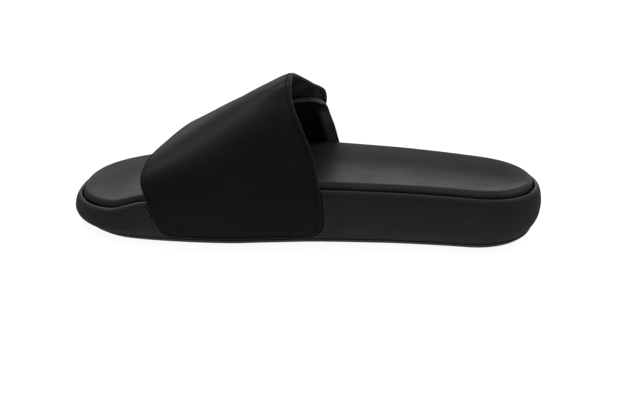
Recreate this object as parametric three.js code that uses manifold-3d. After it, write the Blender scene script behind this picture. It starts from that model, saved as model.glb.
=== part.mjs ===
// A sport slide sandal for the right foot, in millimetres. The toe points along -X and the heel along
// +X. The medial side (big toe side) is at -Y, the lateral side at +Y, and +Z is up. The sole stands
// on z = 0, with its length and width centred on the origin.
//
// Pieces: a rubber outsole, a foam midsole with a raised lip, a soft insole that drops into the lip,
// and the upper. The upper is one padded wall. Its broad strap starts in a shallow pocket in the
// midsole's medial side, goes over the foot and narrows to a tab. A shorter strap comes up from the
// lateral side, and the tab is fastened to its outside.
import * as THREE from "three";
import { mergeVertices } from "three/addons/utils/BufferGeometryUtils.js";
import Module from "manifold-3d";

const wasm = await Module();
wasm.setup();

// Driving dimensions
const soleLength = 290; // heel to toe, at the midsole's widest line
const ballWidth = 106; // across the midsole at the ball of the foot
const rimHeight = 33; // the midsole's lip above the floor, at the heel
const toeSpring = 1.8; // how far the toe's underside stands off the floor
const heelSpring = 4.6; // the same at the back of the heel
const toeSpringReach = 0.2; // where the underside starts to rise, as a share of the length from the toe
const heelSpringReach = 0.16; // the same from the heel
const medialLift = 5.5; // how much higher the lip is on the medial side, beside the ball of the foot
const heelRound = 42; // length over which the heel's outline closes
const toeRound = 44; // length over which the toe's outline closes
const outsoleThickness = 3;
const treadDepth = 1.2;
const treadWidth = 3.2;
const treadWave = 5; // how far each tread groove swings fore and aft
const treadBorder = 5; // plain rim of the outsole round the tread
const groundInset = 8.5; // how far the outsole's contact edge lies inside the widest line
const seamInset = 5.5; // the same where outsole and midsole meet
const lipWidth = 4.6; // from the widest line to the insole's seat
const insoleThickness = 8;
const insoleGroove = 0.9; // open groove between the insole and the lip
const insoleProud = 3.4; // how far the insole's edge stands above the lip
const toeProud = 0.6; // how much more it stands above the lip at the toe
const insoleRound = 2.6; // radius of its upper edge
const footbedDish = 3.2; // how much lower the insole's middle is than its edge
const instepHeight = 97; // top of the upper above the floor, at its rear edge
const strapWall = 3; // padded strap, lining included
const strapProud = 0.8; // how far the strap stands out of its pocket in the midsole
const hemHeight = 4.7; // lower end of each strap above the underside of the sole
const hemCorner = 12; // radius of the strap's lower corners
const tabCorner = 8; // radius of the corners where the broad strap ends
const endCorner = 13; // the same on the short strap, under the tab
const fastenerThickness = 1; // hook and loop, pressed together
const cornerFlare = 1.1; // how far the tab's rear corner stands away from the strap below it
const clearance = 0.3; // between pieces that meet

// Shares and small sizes that shape the edges
const outsoleBulge = { up: 0.45, inset: 0.3 }; // fullest point of the outsole's side, up and outwards
const lipRound = { inset: 0.86, rise: 0.4, drop: 0.5 }; // rounding of the lip's top, towards the insole
const strapEdgeRound = 0.35; // how far a strap's rounded edges reach in, as a share of its wall
const strapEndSqueeze = 0.28; // how much thinner its ends are on each side, as a share of its wall
const cornerOverrun = 0.6; // how far a corner's arc reaches past the end of the strap
const fastenerSunk = 0.25; // how deep the hook and loop sits in each strap

// Plan of the sole: share of the length from the heel, half width and swing towards the medial side,
// both as shares of half the ball width.
const planSections = [
  { at: 0.0, half: 0.72, swing: 0.1 },
  { at: 0.11, half: 0.73, swing: 0.03 },
  { at: 0.22, half: 0.775, swing: -0.04 },
  { at: 0.32, half: 0.82, swing: -0.07 },
  { at: 0.45, half: 0.875, swing: -0.06 },
  { at: 0.56, half: 0.945, swing: -0.02 },
  { at: 0.64, half: 0.99, swing: 0.02 },
  { at: 0.7, half: 1.0, swing: 0.035 },
  { at: 0.76, half: 0.988, swing: 0.055 },
  { at: 0.86, half: 0.94, swing: 0.075 },
  { at: 1.0, half: 0.84, swing: 0.06 },
];

// Height of the lip along the sole: lateral side as a share of the rim height, and how much of the
// medial lift is added.
const rimSections = [
  { at: 0.0, rim: 0.975, medial: 0.13 },
  { at: 0.12, rim: 0.98, medial: 0.27 },
  { at: 0.3, rim: 0.99, medial: 0.43 },
  { at: 0.46, rim: 1.0, medial: 0.55 },
  { at: 0.6, rim: 0.95, medial: 0.68 },
  { at: 0.7, rim: 0.845, medial: 0.88 },
  { at: 0.76, rim: 0.75, medial: 1.0 },
  { at: 0.824, rim: 0.65, medial: 1.0 },
  { at: 0.86, rim: 0.6, medial: 0.66 },
  { at: 0.89, rim: 0.565, medial: 0.27 },
  { at: 0.93, rim: 0.53, medial: 0.13 },
  { at: 1.0, rim: 0.48, medial: 0.0 },
];

// Side wall of the midsole from the seam to the lip: share of its height, and inset as a share of the
// seam's inset.
const wallSections = [
  { up: 0.0, inset: 1.0 },
  { up: 0.14, inset: 0.5 },
  { up: 0.32, inset: 0.14 },
  { up: 0.56, inset: 0.0 },
  { up: 0.8, inset: 0.1 },
  { up: 0.93, inset: 0.3 },
  { up: 1.0, inset: 0.62 },
];
const widestUp = 0.56; // where the wall is widest, and the arch of the upper starts
const toeLean = 1.7; // at the toe the wall is widest lower down

// The last under the upper: height of its ridge as a share of the instep height, the ridge's place as
// a share of half the ball width (medial is positive), and how full each side is towards the ridge and
// towards the sole.
const lastSections = [
  {
    at: 0.42, ridge: 1.03, shift: 0.11,
    medialTop: 0.38, medialSide: 0.75, lateralTop: 0.3, lateralSide: 0.62,
  },
  {
    at: 0.53, ridge: 1.0, shift: 0.11,
    medialTop: 0.38, medialSide: 0.75, lateralTop: 0.25, lateralSide: 0.5,
  },
  {
    at: 0.585, ridge: 0.923, shift: 0.11,
    medialTop: 0.38, medialSide: 0.77, lateralTop: 0.27, lateralSide: 0.54,
  },
  {
    at: 0.665, ridge: 0.781, shift: 0.13,
    medialTop: 0.39, medialSide: 0.8, lateralTop: 0.32, lateralSide: 0.63,
  },
  {
    at: 0.74, ridge: 0.636, shift: 0.19,
    medialTop: 0.42, medialSide: 0.85, lateralTop: 0.36, lateralSide: 0.68,
  },
  {
    at: 0.82, ridge: 0.489, shift: 0.33,
    medialTop: 0.45, medialSide: 0.9, lateralTop: 0.4, lateralSide: 0.72,
  },
  {
    at: 0.86, ridge: 0.43, shift: 0.38,
    medialTop: 0.45, medialSide: 0.9, lateralTop: 0.42, lateralSide: 0.72,
  },
];

// Edges of the two straps as shares of the sole's length from the heel. turn is the share of the way
// round the arch, from the medial hem at 0 over the ridge at 0.5 to the lateral hem at 1.
const broadStrapEdges = [
  { turn: 0.0, front: 0.792, rear: 0.4466 },
  { turn: 0.06, front: 0.7845, rear: 0.4466 },
  { turn: 0.11, front: 0.7865, rear: 0.4466 },
  { turn: 0.17, front: 0.797, rear: 0.448 },
  { turn: 0.24, front: 0.818, rear: 0.4645 },
  { turn: 0.3, front: 0.829, rear: 0.4925 },
  { turn: 0.35, front: 0.8315, rear: 0.5125 },
  { turn: 0.4, front: 0.829, rear: 0.5235 },
  { turn: 0.45, front: 0.826, rear: 0.527 },
  { turn: 0.5, front: 0.8185, rear: 0.5285 },
  { turn: 0.535, front: 0.8065, rear: 0.5285 },
  { turn: 0.57, front: 0.792, rear: 0.525 },
  { turn: 0.6, front: 0.776, rear: 0.5185 },
  { turn: 0.65, front: 0.752, rear: 0.4985 },
  { turn: 0.685, front: 0.737, rear: 0.475 },
  { turn: 0.7, front: 0.731, rear: 0.474 },
  { turn: 0.74, front: 0.716, rear: 0.488 },
  { turn: 0.82, front: 0.695, rear: 0.525 },
];
const shortStrapEdges = [
  { turn: 0.67, front: 0.757, rear: 0.4735 },
  { turn: 0.7, front: 0.752, rear: 0.4735 },
  { turn: 0.73, front: 0.745, rear: 0.469 },
  { turn: 0.757, front: 0.739, rear: 0.461 },
  { turn: 0.78, front: 0.733, rear: 0.455 },
  { turn: 0.83, front: 0.722, rear: 0.443 },
  { turn: 1.0, front: 0.7, rear: 0.442 },
];
const broadStrapTurns = [0, 0.8];
const shortStrapTurns = [0.678, 1];
const fastenerField = { turns: [0.705, 0.785], places: [0.55, 0.68] };
const archTurns = [0.17, 0.83]; // where the arch starts and ends above the side walls

// Tread: shares of the length from the heel between which the grooves lie.
const treadFields = [
  { from: 0.07, to: 0.3, grooves: 6 },
  { from: 0.5, to: 0.88, grooves: 9 },
];

const outlinePoints = 72;
const strapRows = 30;
const strapColumns = 10;

const halfBall = ballWidth / 2;

// A smooth function through a table's rows that never swings past them.
function through(table, place, value) {
  const x = table.map((row) => row[place]);
  const y = table.map((row) => row[value]);
  const rise = x.slice(1).map((next, i) => (y[i + 1] - y[i]) / (next - x[i]));
  const slope = x.map((_, i) => {
    if (i === 0 || i === x.length - 1) return rise[Math.min(i, rise.length - 1)];
    return rise[i - 1] * rise[i] <= 0 ? 0 : (2 * rise[i - 1] * rise[i]) / (rise[i - 1] + rise[i]);
  });
  return (at) => {
    const t = Math.min(Math.max(at, x[0]), x[x.length - 1]);
    const i = Math.max(0, x.findIndex((next) => next >= t) - 1);
    const width = x[i + 1] - x[i];
    const u = (t - x[i]) / width;
    const bend = (3 - 2 * u) * u * u;
    return (
      y[i] * (1 - bend) +
      y[i + 1] * bend +
      width * (slope[i] * u * (1 - u) ** 2 - slope[i + 1] * u * u * (1 - u))
    );
  };
}

function smooth(from, to, value) {
  return THREE.MathUtils.smoothstep(value, from, to);
}

const planHalf = through(planSections, "at", "half");
const planSwing = through(planSections, "at", "swing");
const rimShare = through(rimSections, "at", "rim");
const medialShare = through(rimSections, "at", "medial");
const wallInset = through(wallSections, "up", "inset");

// Places along the sole
const placeX = (at) => soleLength * (0.5 - at);
const atX = (x) => 0.5 - x / soleLength;
const centreY = (at) => -halfBall * planSwing(at);

// How much of the half width is left where the outline closes at heel and toe.
function closing(at) {
  const heel = Math.min(1, (at * soleLength) / heelRound);
  const toe = Math.min(1, ((1 - at) * soleLength) / toeRound);
  const round = (share, power) => Math.max(0, 1 - (1 - share) ** power) ** (1 / power);
  return round(heel, 2.1) * round(toe, 2.3);
}

const halfWidth = (at) => halfBall * planHalf(at) * closing(at);

// Underside of the sole above the floor
function groundZ(at) {
  const toe = toeSpring * Math.max(0, 1 - (1 - at) / toeSpringReach) ** 2;
  const heel = heelSpring * Math.max(0, 1 - at / heelSpringReach) ** 2;
  return toe + heel;
}

// Top of the lip, at a place across the sole from -1 (medial) to 1 (lateral)
function rimZ(at, across) {
  return rimHeight * rimShare(at) + medialLift * medialShare(at) * (0.5 - 0.5 * across) ** 1.6;
}

// The widest line of the sole as a closed loop, anticlockwise from above, with the inward normal at
// each point.
function soleOutline() {
  const half = outlinePoints / 2;
  const points = [];
  for (let i = 0; i < outlinePoints; i++) {
    const at = 0.5 - 0.5 * Math.cos((Math.PI * (i % half)) / half + (i >= half ? Math.PI : 0));
    const side = i < half ? 1 : -1;
    points.push(new THREE.Vector2(placeX(at), centreY(at) + side * halfWidth(at)));
  }
  return points.map((point, i) => {
    const before = points[(i + outlinePoints - 1) % outlinePoints];
    const after = points[(i + 1) % outlinePoints];
    const along = after.clone().sub(before).normalize();
    return { point, inward: new THREE.Vector2(-along.y, along.x) };
  });
}

const outline = soleOutline();

const spineRear = soleLength * (0.5 - 0.1);
const spineFront = soleLength * (0.5 - 0.87);

// One ring of the sole: the outline moved in by an inset, drawn towards the sole's middle line by a
// share, at heights from a function of the place along and across the sole.
function soleRing(inset, height, draw = 1) {
  return outline.map(({ point, inward }) => {
    const p = point.clone().addScaledVector(inward, inset);
    const spineX = Math.min(Math.max(p.x, spineFront), spineRear);
    const spine = new THREE.Vector2(spineX, centreY(atX(spineX)));
    p.sub(spine).multiplyScalar(draw).add(spine);
    const at = atX(p.x);
    const half = Math.max(halfWidth(Math.min(Math.max(at, 0.02), 0.98)), 1);
    const across = Math.min(Math.max((p.y - centreY(at)) / half, -1), 1);
    return new THREE.Vector3(p.x, p.y, height(at, across));
  });
}

function geometryOf(points, faces) {
  const geometry = new THREE.BufferGeometry();
  geometry.setAttribute("position", new THREE.Float32BufferAttribute(points.flatMap((p) => p.toArray()), 3));
  geometry.setIndex(faces.flat());
  return mergeVertices(geometry, 1e-4);
}

// Faces between neighbouring rings of a closed skin, each ring with the same number of points.
function skinFaces(ringCount, size) {
  const faces = [];
  for (let r = 0; r + 1 < ringCount; r++) {
    for (let i = 0; i < size; i++) {
      const next = (i + 1) % size;
      const [a, b, c, d] = [r * size + i, r * size + next, (r + 1) * size + next, (r + 1) * size + i];
      faces.push([a, b, c], [a, c, d]);
    }
  }
  return faces;
}

// Rungs across a ring, from each point to its mirror point on the other side
function rungFaces(size) {
  const faces = [[0, 1, size - 1]];
  for (let i = 1; i + 1 < size / 2; i++) {
    faces.push([i, i + 1, size - i], [i + 1, size - i - 1, size - i]);
  }
  faces.push([size / 2 - 1, size / 2, size / 2 + 1]);
  return faces;
}

// A closed body from rings that start under it, go out, up and in again.
function bodyFromRings(rings) {
  const size = rings[0].length;
  const last = (rings.length - 1) * size;
  const faces = skinFaces(rings.length, size);
  for (const [a, b, c] of rungFaces(size)) faces.push([a, c, b], [last + a, last + b, last + c]);
  return geometryOf(rings.flat(), faces);
}

function solidOf(geometry) {
  const solid = new wasm.Manifold(
    new wasm.Mesh({
      numProp: 3,
      vertProperties: geometry.attributes.position.array,
      triVerts: new Uint32Array(geometry.index.array),
    }),
  );
  if (solid.volume() > 0) return solid;
  const turned = geometry.clone();
  const index = turned.index.array;
  for (let i = 0; i < index.length; i += 3) [index[i], index[i + 1]] = [index[i + 1], index[i]];
  return solidOf(turned);
}

function geometryFrom(solid) {
  const mesh = solid.getMesh();
  const geometry = new THREE.BufferGeometry();
  geometry.setAttribute("position", new THREE.BufferAttribute(new Float32Array(mesh.vertProperties), 3));
  geometry.setIndex(new THREE.BufferAttribute(new Uint32Array(mesh.triVerts), 1));
  return geometry;
}

// Outsole: each tread groove is a wave across the sole that stops inside the plain rim.
function treadGroove(at) {
  const steps = 8;
  const reach = halfWidth(at) - groundInset - treadBorder;
  const shape = new THREE.Shape();
  const edge = (side) =>
    Array.from({ length: steps + 1 }, (_, i) => {
      const across = (2 * i) / steps - 1;
      const swing = treadWave * (0.5 - 0.5 * Math.cos(2 * Math.PI * across));
      return new THREE.Vector2(placeX(at) + swing + (side * treadWidth) / 2, centreY(at) + reach * across);
    });
  shape.setFromPoints([...edge(1), ...edge(-1).reverse()]);
  const depth = treadDepth + groundZ(at) + 2 * treadDepth;
  const geometry = new THREE.ExtrudeGeometry(shape, { depth, bevelEnabled: false });
  geometry.deleteAttribute("normal");
  geometry.deleteAttribute("uv");
  geometry.translate(0, 0, groundZ(at) + treadDepth - depth);
  return solidOf(mergeVertices(geometry, 1e-4));
}

function outsole() {
  const under = (at) => groundZ(at);
  const over = (at) => groundZ(at) + outsoleThickness;
  let solid = solidOf(
    bodyFromRings([
      soleRing(groundInset, under, 0.5),
      soleRing(groundInset, under),
      soleRing(
        THREE.MathUtils.lerp(seamInset, groundInset, outsoleBulge.inset),
        (at) => groundZ(at) + outsoleThickness * outsoleBulge.up,
      ),
      soleRing(seamInset, over),
      soleRing(seamInset, over, 0.5),
    ]),
  );
  for (const field of treadFields) {
    for (let i = 0; i < field.grooves; i++) {
      const at = field.from + ((field.to - field.from) * i) / (field.grooves - 1);
      solid = solid.subtract(treadGroove(at));
    }
  }
  return solid;
}

// Midsole
const seatZ = (at) => groundZ(at) + outsoleThickness + clearance;

// Height of a share of the midsole's side wall
function wallZ(up, at, across) {
  const share = up ** (1 + (toeLean - 1) * smooth(0.82, 1, at));
  return seatZ(at) + share * (rimZ(at, across) - seatZ(at));
}

function midsoleWall({ up, inset }) {
  return soleRing(inset * seamInset, (at, across) => wallZ(up, at, across));
}

// The footbed's surface: a share of 1 is the insole's edge, 0 its middle line.
function footbedZ(at, across, share) {
  const dish = footbedDish * (1 - share ** 2) * (1 - smooth(0.8, 0.95, at) * 0.7);
  return rimZ(at, across) + insoleProud + toeProud * smooth(0.74, 0.88, at) - dish;
}

const footbedShares = [0.85, 0.55, 0.2];

// The insole's underside and the seat below it: the same surface at two depths, each with its own
// outer edge.
function seatRings(edge, depth) {
  return [
    soleRing(edge, (at, across) => footbedZ(at, across, 1) - depth),
    ...footbedShares.map((share) =>
      soleRing(lipWidth, (at, across) => footbedZ(at, across, share) - depth, share),
    ),
  ];
}

function midsole(pockets) {
  const seatDepth = insoleThickness + clearance;
  const body = solidOf(
    bodyFromRings([
      soleRing(seamInset, seatZ, 0.5),
      ...wallSections.map(midsoleWall),
      soleRing(lipWidth * lipRound.inset, (at, across) => rimZ(at, across) + lipRound.rise),
      soleRing(lipWidth, (at, across) => rimZ(at, across) - lipRound.drop),
      ...seatRings(lipWidth, seatDepth),
    ]),
  );
  return pockets.reduce((solid, pocket) => solid.subtract(pocket), body);
}

// Insole
function insole() {
  const edge = lipWidth + insoleGroove;
  return solidOf(
    bodyFromRings([
      ...seatRings(edge, insoleThickness).reverse(),
      ...[0, 30, 60, 90].map((degrees) => {
        const angle = THREE.MathUtils.degToRad(degrees);
        const inset = edge + insoleRound * (1 - Math.cos(angle));
        return soleRing(inset, (at, across) => footbedZ(at, across, 1) - insoleRound * (1 - Math.sin(angle)));
      }),
      ...[0.9, 0.72, 0.48, 0.2].map((share) =>
        soleRing(edge + insoleRound, (at, across) => footbedZ(at, across, share), share),
      ),
    ]),
  );
}

// Upper
const lastShape = Object.fromEntries(
  Object.keys(lastSections[0])
    .filter((name) => name !== "at")
    .map((name) => [name, through(lastSections, "at", name)]),
);

// The outside of the upper at a place along the sole and a turn round the arch. Up to the side wall's
// widest line it follows the midsole, above that it is a quarter curve to the ridge.
function lastPoint(at, turn) {
  const side = turn < 0.5 ? -1 : 1;
  const fromHem = side < 0 ? turn : 1 - turn;
  const archStart = archTurns[0];
  const widestZ = wallZ(widestUp, at, side);
  const edgeY = centreY(at) + side * (halfWidth(at) + strapProud);
  if (fromHem < archStart) {
    const bottom = groundZ(at) + hemHeight;
    const z = THREE.MathUtils.lerp(bottom, widestZ, fromHem / archStart);
    const up = widestUp * Math.max(0, (z - seatZ(at)) / (widestZ - seatZ(at)));
    return new THREE.Vector3(placeX(at), edgeY - side * seamInset * wallInset(up), z);
  }
  const ridgeY = centreY(at) - halfBall * lastShape.shift(at);
  const ridge = new THREE.Vector2(ridgeY, instepHeight * lastShape.ridge(at));
  const top = side < 0 ? lastShape.medialTop(at) : lastShape.lateralTop(at);
  const flank = side < 0 ? lastShape.medialSide(at) : lastShape.lateralSide(at);
  const quarter = new THREE.CubicBezierCurve(
    new THREE.Vector2(edgeY, widestZ),
    new THREE.Vector2(edgeY, THREE.MathUtils.lerp(widestZ, ridge.y, flank)),
    new THREE.Vector2(THREE.MathUtils.lerp(ridge.x, edgeY, top), ridge.y),
    ridge,
  );
  const point = quarter.getPoint((fromHem - archStart) / (0.5 - archStart));
  return new THREE.Vector3(placeX(at), point.x, point.y);
}

function lastNormal(at, turn) {
  const step = 0.004;
  const alongTurn = lastPoint(at, turn + step).sub(lastPoint(at, turn - step));
  const alongFoot = lastPoint(at + step, turn).sub(lastPoint(at - step, turn));
  return alongTurn.cross(alongFoot).normalize();
}

// A point of a strap: depth is measured inwards from the outside of the last's surface.
function wallPoint(at, turn, depth) {
  return lastPoint(at, turn).addScaledVector(lastNormal(at, turn), -depth);
}

// A padded strap as a closed body. edges gives its front and rear edge, lift how far its outside
// stands off the last's surface, corners the radius of its corners at the start and end, and grow an
// allowance on every side.
function strapBody({ edges, turns, lift, corners, wall = strapWall, grow = 0 }) {
  const front = through(edges, "turn", "front");
  const rear = through(edges, "turn", "rear");
  const middle = 0.5 * (front(turns[0]) + rear(turns[0]));
  const lengthOf = (from, to) => lastPoint(middle, from).distanceTo(lastPoint(middle, to));
  const perTurn = lengthOf(turns[0], turns[0] + 0.01) / 0.01;
  const start = turns[0] - grow / perTurn;
  const end = turns[1] + grow / perTurn;
  const rows = [];
  for (let i = 0; i <= strapRows; i++) {
    const share = i / strapRows;
    rows.push(start + (end - start) * (share + 0.05 * Math.sin(-2 * Math.PI * share)));
  }
  const roundedAway = (distance, radius) =>
    distance >= radius ? 0 : radius - Math.sqrt(Math.max(0, radius ** 2 - (radius - distance) ** 2));
  const rings = rows.map((turn, row) => {
    const endRow = row === 0 || row === strapRows;
    const fromStart = lengthOf(start, turn) + cornerOverrun;
    const fromEnd = lengthOf(turn, end) + cornerOverrun;
    const cut = roundedAway(fromStart, corners[0]) + roundedAway(fromEnd, corners[1]);
    const frontAt = front(turn) - (cut - grow) / soleLength;
    const rearAt = rear(turn) + (cut - grow) / soleLength;
    const squeeze = endRow && grow === 0 ? strapEndSqueeze * wall : 0;
    const ring = [];
    const place = (share) => frontAt + (rearAt - frontAt) * share;
    const inFrom = (strapEdgeRound * wall) / Math.max(1, (frontAt - rearAt) * soleLength);
    for (let j = 0; j <= strapColumns; j++) {
      const share = inFrom + (1 - 2 * inFrom) * (j / strapColumns);
      ring.push(wallPoint(place(share), turn, squeeze - grow - lift(place(share), turn)));
    }
    ring.push(wallPoint(place(1), turn, wall / 2 - lift(place(1), turn)));
    for (let j = strapColumns; j >= 0; j--) {
      const share = inFrom + (1 - 2 * inFrom) * (j / strapColumns);
      ring.push(wallPoint(place(share), turn, wall - squeeze + grow - lift(place(share), turn)));
    }
    ring.push(wallPoint(place(0), turn, wall / 2 - lift(place(0), turn)));
    return ring;
  });
  const size = rings[0].length;
  const faces = skinFaces(rings.length, size);
  for (const [ring, turned] of [[0, true], [rings.length - 1, false]]) {
    const at = (j) => ring * size + j;
    const cap = [];
    for (let j = 0; j < strapColumns; j++) {
      const [a, b, c, d] = [at(j), at(j + 1), at(size - 3 - j), at(size - 2 - j)];
      cap.push([a, b, c], [a, c, d]);
    }
    cap.push([at(strapColumns), at(strapColumns + 1), at(strapColumns + 2)]);
    cap.push([at(size - 2), at(size - 1), at(0)]);
    for (const [a, b, c] of cap) faces.push(turned ? [a, c, b] : [a, b, c]);
  }
  return solidOf(geometryOf(rings.flat(), faces));
}

// The broad strap rises over the end of the short one, and its rear corner stands away a little more.
function broadLift(at, turn) {
  const over = (strapWall + fastenerThickness) * smooth(0.53, 0.7, turn);
  const nearCorner = smooth(0.56, 0.68, turn) * (1 - smooth(0.72, 0.8, turn)) * (1 - smooth(0.48, 0.54, at));
  return over + cornerFlare * nearCorner;
}

const noLift = () => 0;

const broadStrap = {
  edges: broadStrapEdges,
  turns: broadStrapTurns,
  lift: broadLift,
  corners: [hemCorner, tabCorner],
};
const shortStrap = {
  edges: shortStrapEdges,
  turns: shortStrapTurns,
  lift: noLift,
  corners: [endCorner, hemCorner],
};

// Hook and loop between the two straps, sunk a little into both
function fastener() {
  const [from, to] = fastenerField.places;
  const edges = fastenerField.turns.map((turn) => ({ turn, front: to, rear: from }));
  return strapBody({
    edges,
    turns: fastenerField.turns,
    lift: () => fastenerThickness + fastenerSunk,
    corners: [0, 0],
    wall: fastenerThickness + 2 * fastenerSunk,
  });
}

function upper() {
  return strapBody(broadStrap).add(strapBody(shortStrap)).add(fastener());
}

// The pockets in the midsole's sides that the lower ends of the straps are let into
function strapPockets() {
  return [
    strapBody({ ...broadStrap, grow: clearance }),
    strapBody({ ...shortStrap, grow: clearance }),
  ];
}

function finish(name, solid, color, roughness) {
  const geometry = geometryFrom(solid);
  geometry.computeVertexNormals();
  const mesh = new THREE.Mesh(geometry, new THREE.MeshStandardMaterial({ color, roughness, metalness: 0 }));
  mesh.name = name;
  return mesh;
}

const slide = new THREE.Group();
slide.add(
  finish("outsole", outsole(), 0x1d1d1e, 0.75),
  finish("midsole", midsole(strapPockets()), 0x242425, 0.68),
  finish("insole", insole(), 0x39393b, 0.72),
  finish("upper", upper(), 0x151617, 0.8),
);

// The length and width of the whole slide are centred on the origin.
const size = new THREE.Box3().setFromObject(slide);
const middle = size.getCenter(new THREE.Vector3());
for (const mesh of slide.children) mesh.geometry.translate(-middle.x, -middle.y, -size.min.z);

export default slide;
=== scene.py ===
"""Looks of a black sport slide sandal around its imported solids.

Shapes are worked out in millimetres, with the toe at -X, the heel at +X and the medial side at -Y. Every
mesh is made in metres."""

import math

import bmesh
import bpy
import numpy as np
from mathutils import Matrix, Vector


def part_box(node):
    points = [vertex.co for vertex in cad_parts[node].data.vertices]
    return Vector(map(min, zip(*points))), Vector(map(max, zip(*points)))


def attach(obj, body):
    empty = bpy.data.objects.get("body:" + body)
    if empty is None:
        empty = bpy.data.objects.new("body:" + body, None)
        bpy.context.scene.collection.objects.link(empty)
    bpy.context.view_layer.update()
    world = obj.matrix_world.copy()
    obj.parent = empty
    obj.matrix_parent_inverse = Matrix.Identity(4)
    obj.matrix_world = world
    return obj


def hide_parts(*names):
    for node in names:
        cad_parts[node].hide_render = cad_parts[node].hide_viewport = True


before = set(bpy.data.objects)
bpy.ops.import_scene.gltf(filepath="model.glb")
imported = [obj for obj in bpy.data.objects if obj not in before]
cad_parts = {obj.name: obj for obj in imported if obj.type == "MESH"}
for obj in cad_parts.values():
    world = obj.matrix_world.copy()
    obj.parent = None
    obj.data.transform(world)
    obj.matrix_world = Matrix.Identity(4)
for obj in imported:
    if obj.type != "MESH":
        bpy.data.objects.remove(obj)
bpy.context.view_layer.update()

MM = 0.001
SAME_POINT = 0.002 * MM

# Sizes of the slide as in the part's source: millimetres, and shares of a length
SOLE_LENGTH = 290.0
HALF_BALL = 53.0
RIM_HEIGHT = 33.0
TOE_SPRING, HEEL_SPRING = 1.8, 4.6
TOE_SPRING_REACH, HEEL_SPRING_REACH = 0.2, 0.16
MEDIAL_LIFT = 5.5
MEDIAL_FADE = 1.6  # how quickly the medial lift fades across the sole
HEEL_ROUND, TOE_ROUND = 42.0, 44.0
HEEL_SQUARE, TOE_SQUARE = 2.1, 2.3  # powers that make the plan's ends fuller than a circle
OUTSOLE_THICKNESS = 3.0
TREAD_DEPTH, TREAD_WIDTH, TREAD_WAVE, TREAD_BORDER = 1.2, 3.2, 5.0, 5.0
GROUND_INSET, SEAM_INSET = 8.5, 5.5
LIP_WIDTH = 4.6
INSOLE_THICKNESS = 8.0
INSOLE_GROOVE = 0.9
INSOLE_PROUD, TOE_PROUD = 3.4, 0.6
TOE_PROUD_PLACES = (0.74, 0.88)
INSOLE_ROUND = 2.6
FOOTBED_DISH = 3.2
TOE_DISH_LOST, TOE_DISH_PLACES = 0.7, (0.8, 0.95)  # the dish runs out towards the toe
INSTEP_HEIGHT = 97.0
STRAP_WALL = 3.0
STRAP_PROUD = 0.8
HEM_HEIGHT = 4.7
HEM_CORNER, TAB_CORNER, END_CORNER = 12.0, 8.0, 13.0
FASTENER_THICKNESS = 1.0
CORNER_FLARE = 1.1
CLEARANCE = 0.3
WIDEST_UP = 0.56
TOE_LEAN, TOE_LEAN_FROM = 1.7, 0.82
ARCH_START = 0.17
SPINE_REAR, SPINE_FRONT = SOLE_LENGTH * 0.4, SOLE_LENGTH * -0.37
END_MARGIN = 0.02
BROAD_TURNS, SHORT_TURNS = (0.0, 0.8), (0.678, 1.0)
OVERLAP_TURNS = (0.53, 0.7)  # where the broad strap rises over the short one
FLARE_TURNS, FLARE_FADE_TURNS, FLARE_PLACES = (0.56, 0.68), (0.72, 0.8), (0.48, 0.54)
FASTENER_TURNS, FASTENER_PLACES = (0.705, 0.785), (0.55, 0.68)

# Finer sizes that only the looks have: millimetres, turns and shares
INSOLE_ROLL = 2.2  # how much further in the rolled edge reaches on the medial side, and
INSOLE_ROLL_DROP = 0.7  # how much further down
ROLL_SIDE, ROLL_PLACES = (0.1, 0.8), (0.76, 0.86)  # where the roll grows and, towards the toe, ends
FAR_FLATTER, FAR_ACROSS = 0.75, (-0.2, 0.5)  # the footbed is flatter towards its lateral edge
LIP_TOE_PLACES = (0.78, 0.88)  # where the lip takes on its shape at the toe
MIDSOLE_UNDER_INSET, INSOLE_UNDER_INSET = 0.3, 1.1  # how far each underside's edge is drawn in
POCKET_GAP = 0.85  # dark line round the strap's end in the midsole
POCKET_OVER, POCKET_UNDER = 3.0, 0.35  # how far the pocket reaches out past the strap and in under it
BROAD_POCKET_TURNS, SHORT_POCKET_TURNS, NO_CORNER = (0.0, 0.42), (0.68, 1.0), 0.01
GROOVE_DROP, GROOVE_CHAMFER = 6.0, 0.35
EDGE_ROUND = 0.8  # rounding of the straps' cut edges
EDGE_SINK, EDGE_SINK_REACH = 0.15, 6  # how much thinner the padding is at the edges, and how far in
SEAM_TROUGH, SEAM_FROM_EDGE, SEAM_SPREAD = 0.08, 2.4, 0.7
LINING_TROUGH, LINING_FROM_EDGE, LINING_SPREAD = 0.25, 3.2, 1.0
QUILT_DEPTH, QUILT_ALONG, QUILT_ROUND, QUILT_FROM_EDGE = 0.12, 210, 190, (3, 10)
TAPE_CORNER, TAPE_ROUND = 3.0, 0.25
HOOK_DEPTHS, LOOP_DEPTHS = (-1.35, -0.52), (-0.48, 0.35)  # outer and inner face under the last
FUZZ_DEPTH, FUZZ_ALONG, FUZZ_ROUND, FUZZ_FROM_EDGE = 0.06, 900, 700, 0.5
STITCH_LENGTH, STITCH_PITCH, THREAD = 1.6, 2.6, 0.28
STITCH_START, STITCH_SPOTS, THREAD_SIDES = 1.0, 7, 6
THREAD_RISE, THREAD_DIVE, THREAD_TIP, THREAD_THICK = 0.45, 1.25, 0.12, 0.9  # shares of the thread
STITCH_INSET = {"front": 1.7, "rear": 2.9}
BROAD_STITCHED, SHORT_STITCHED = (0.02, 0.77), (0.71, 0.98)  # turns between which the stitches lie

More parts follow.
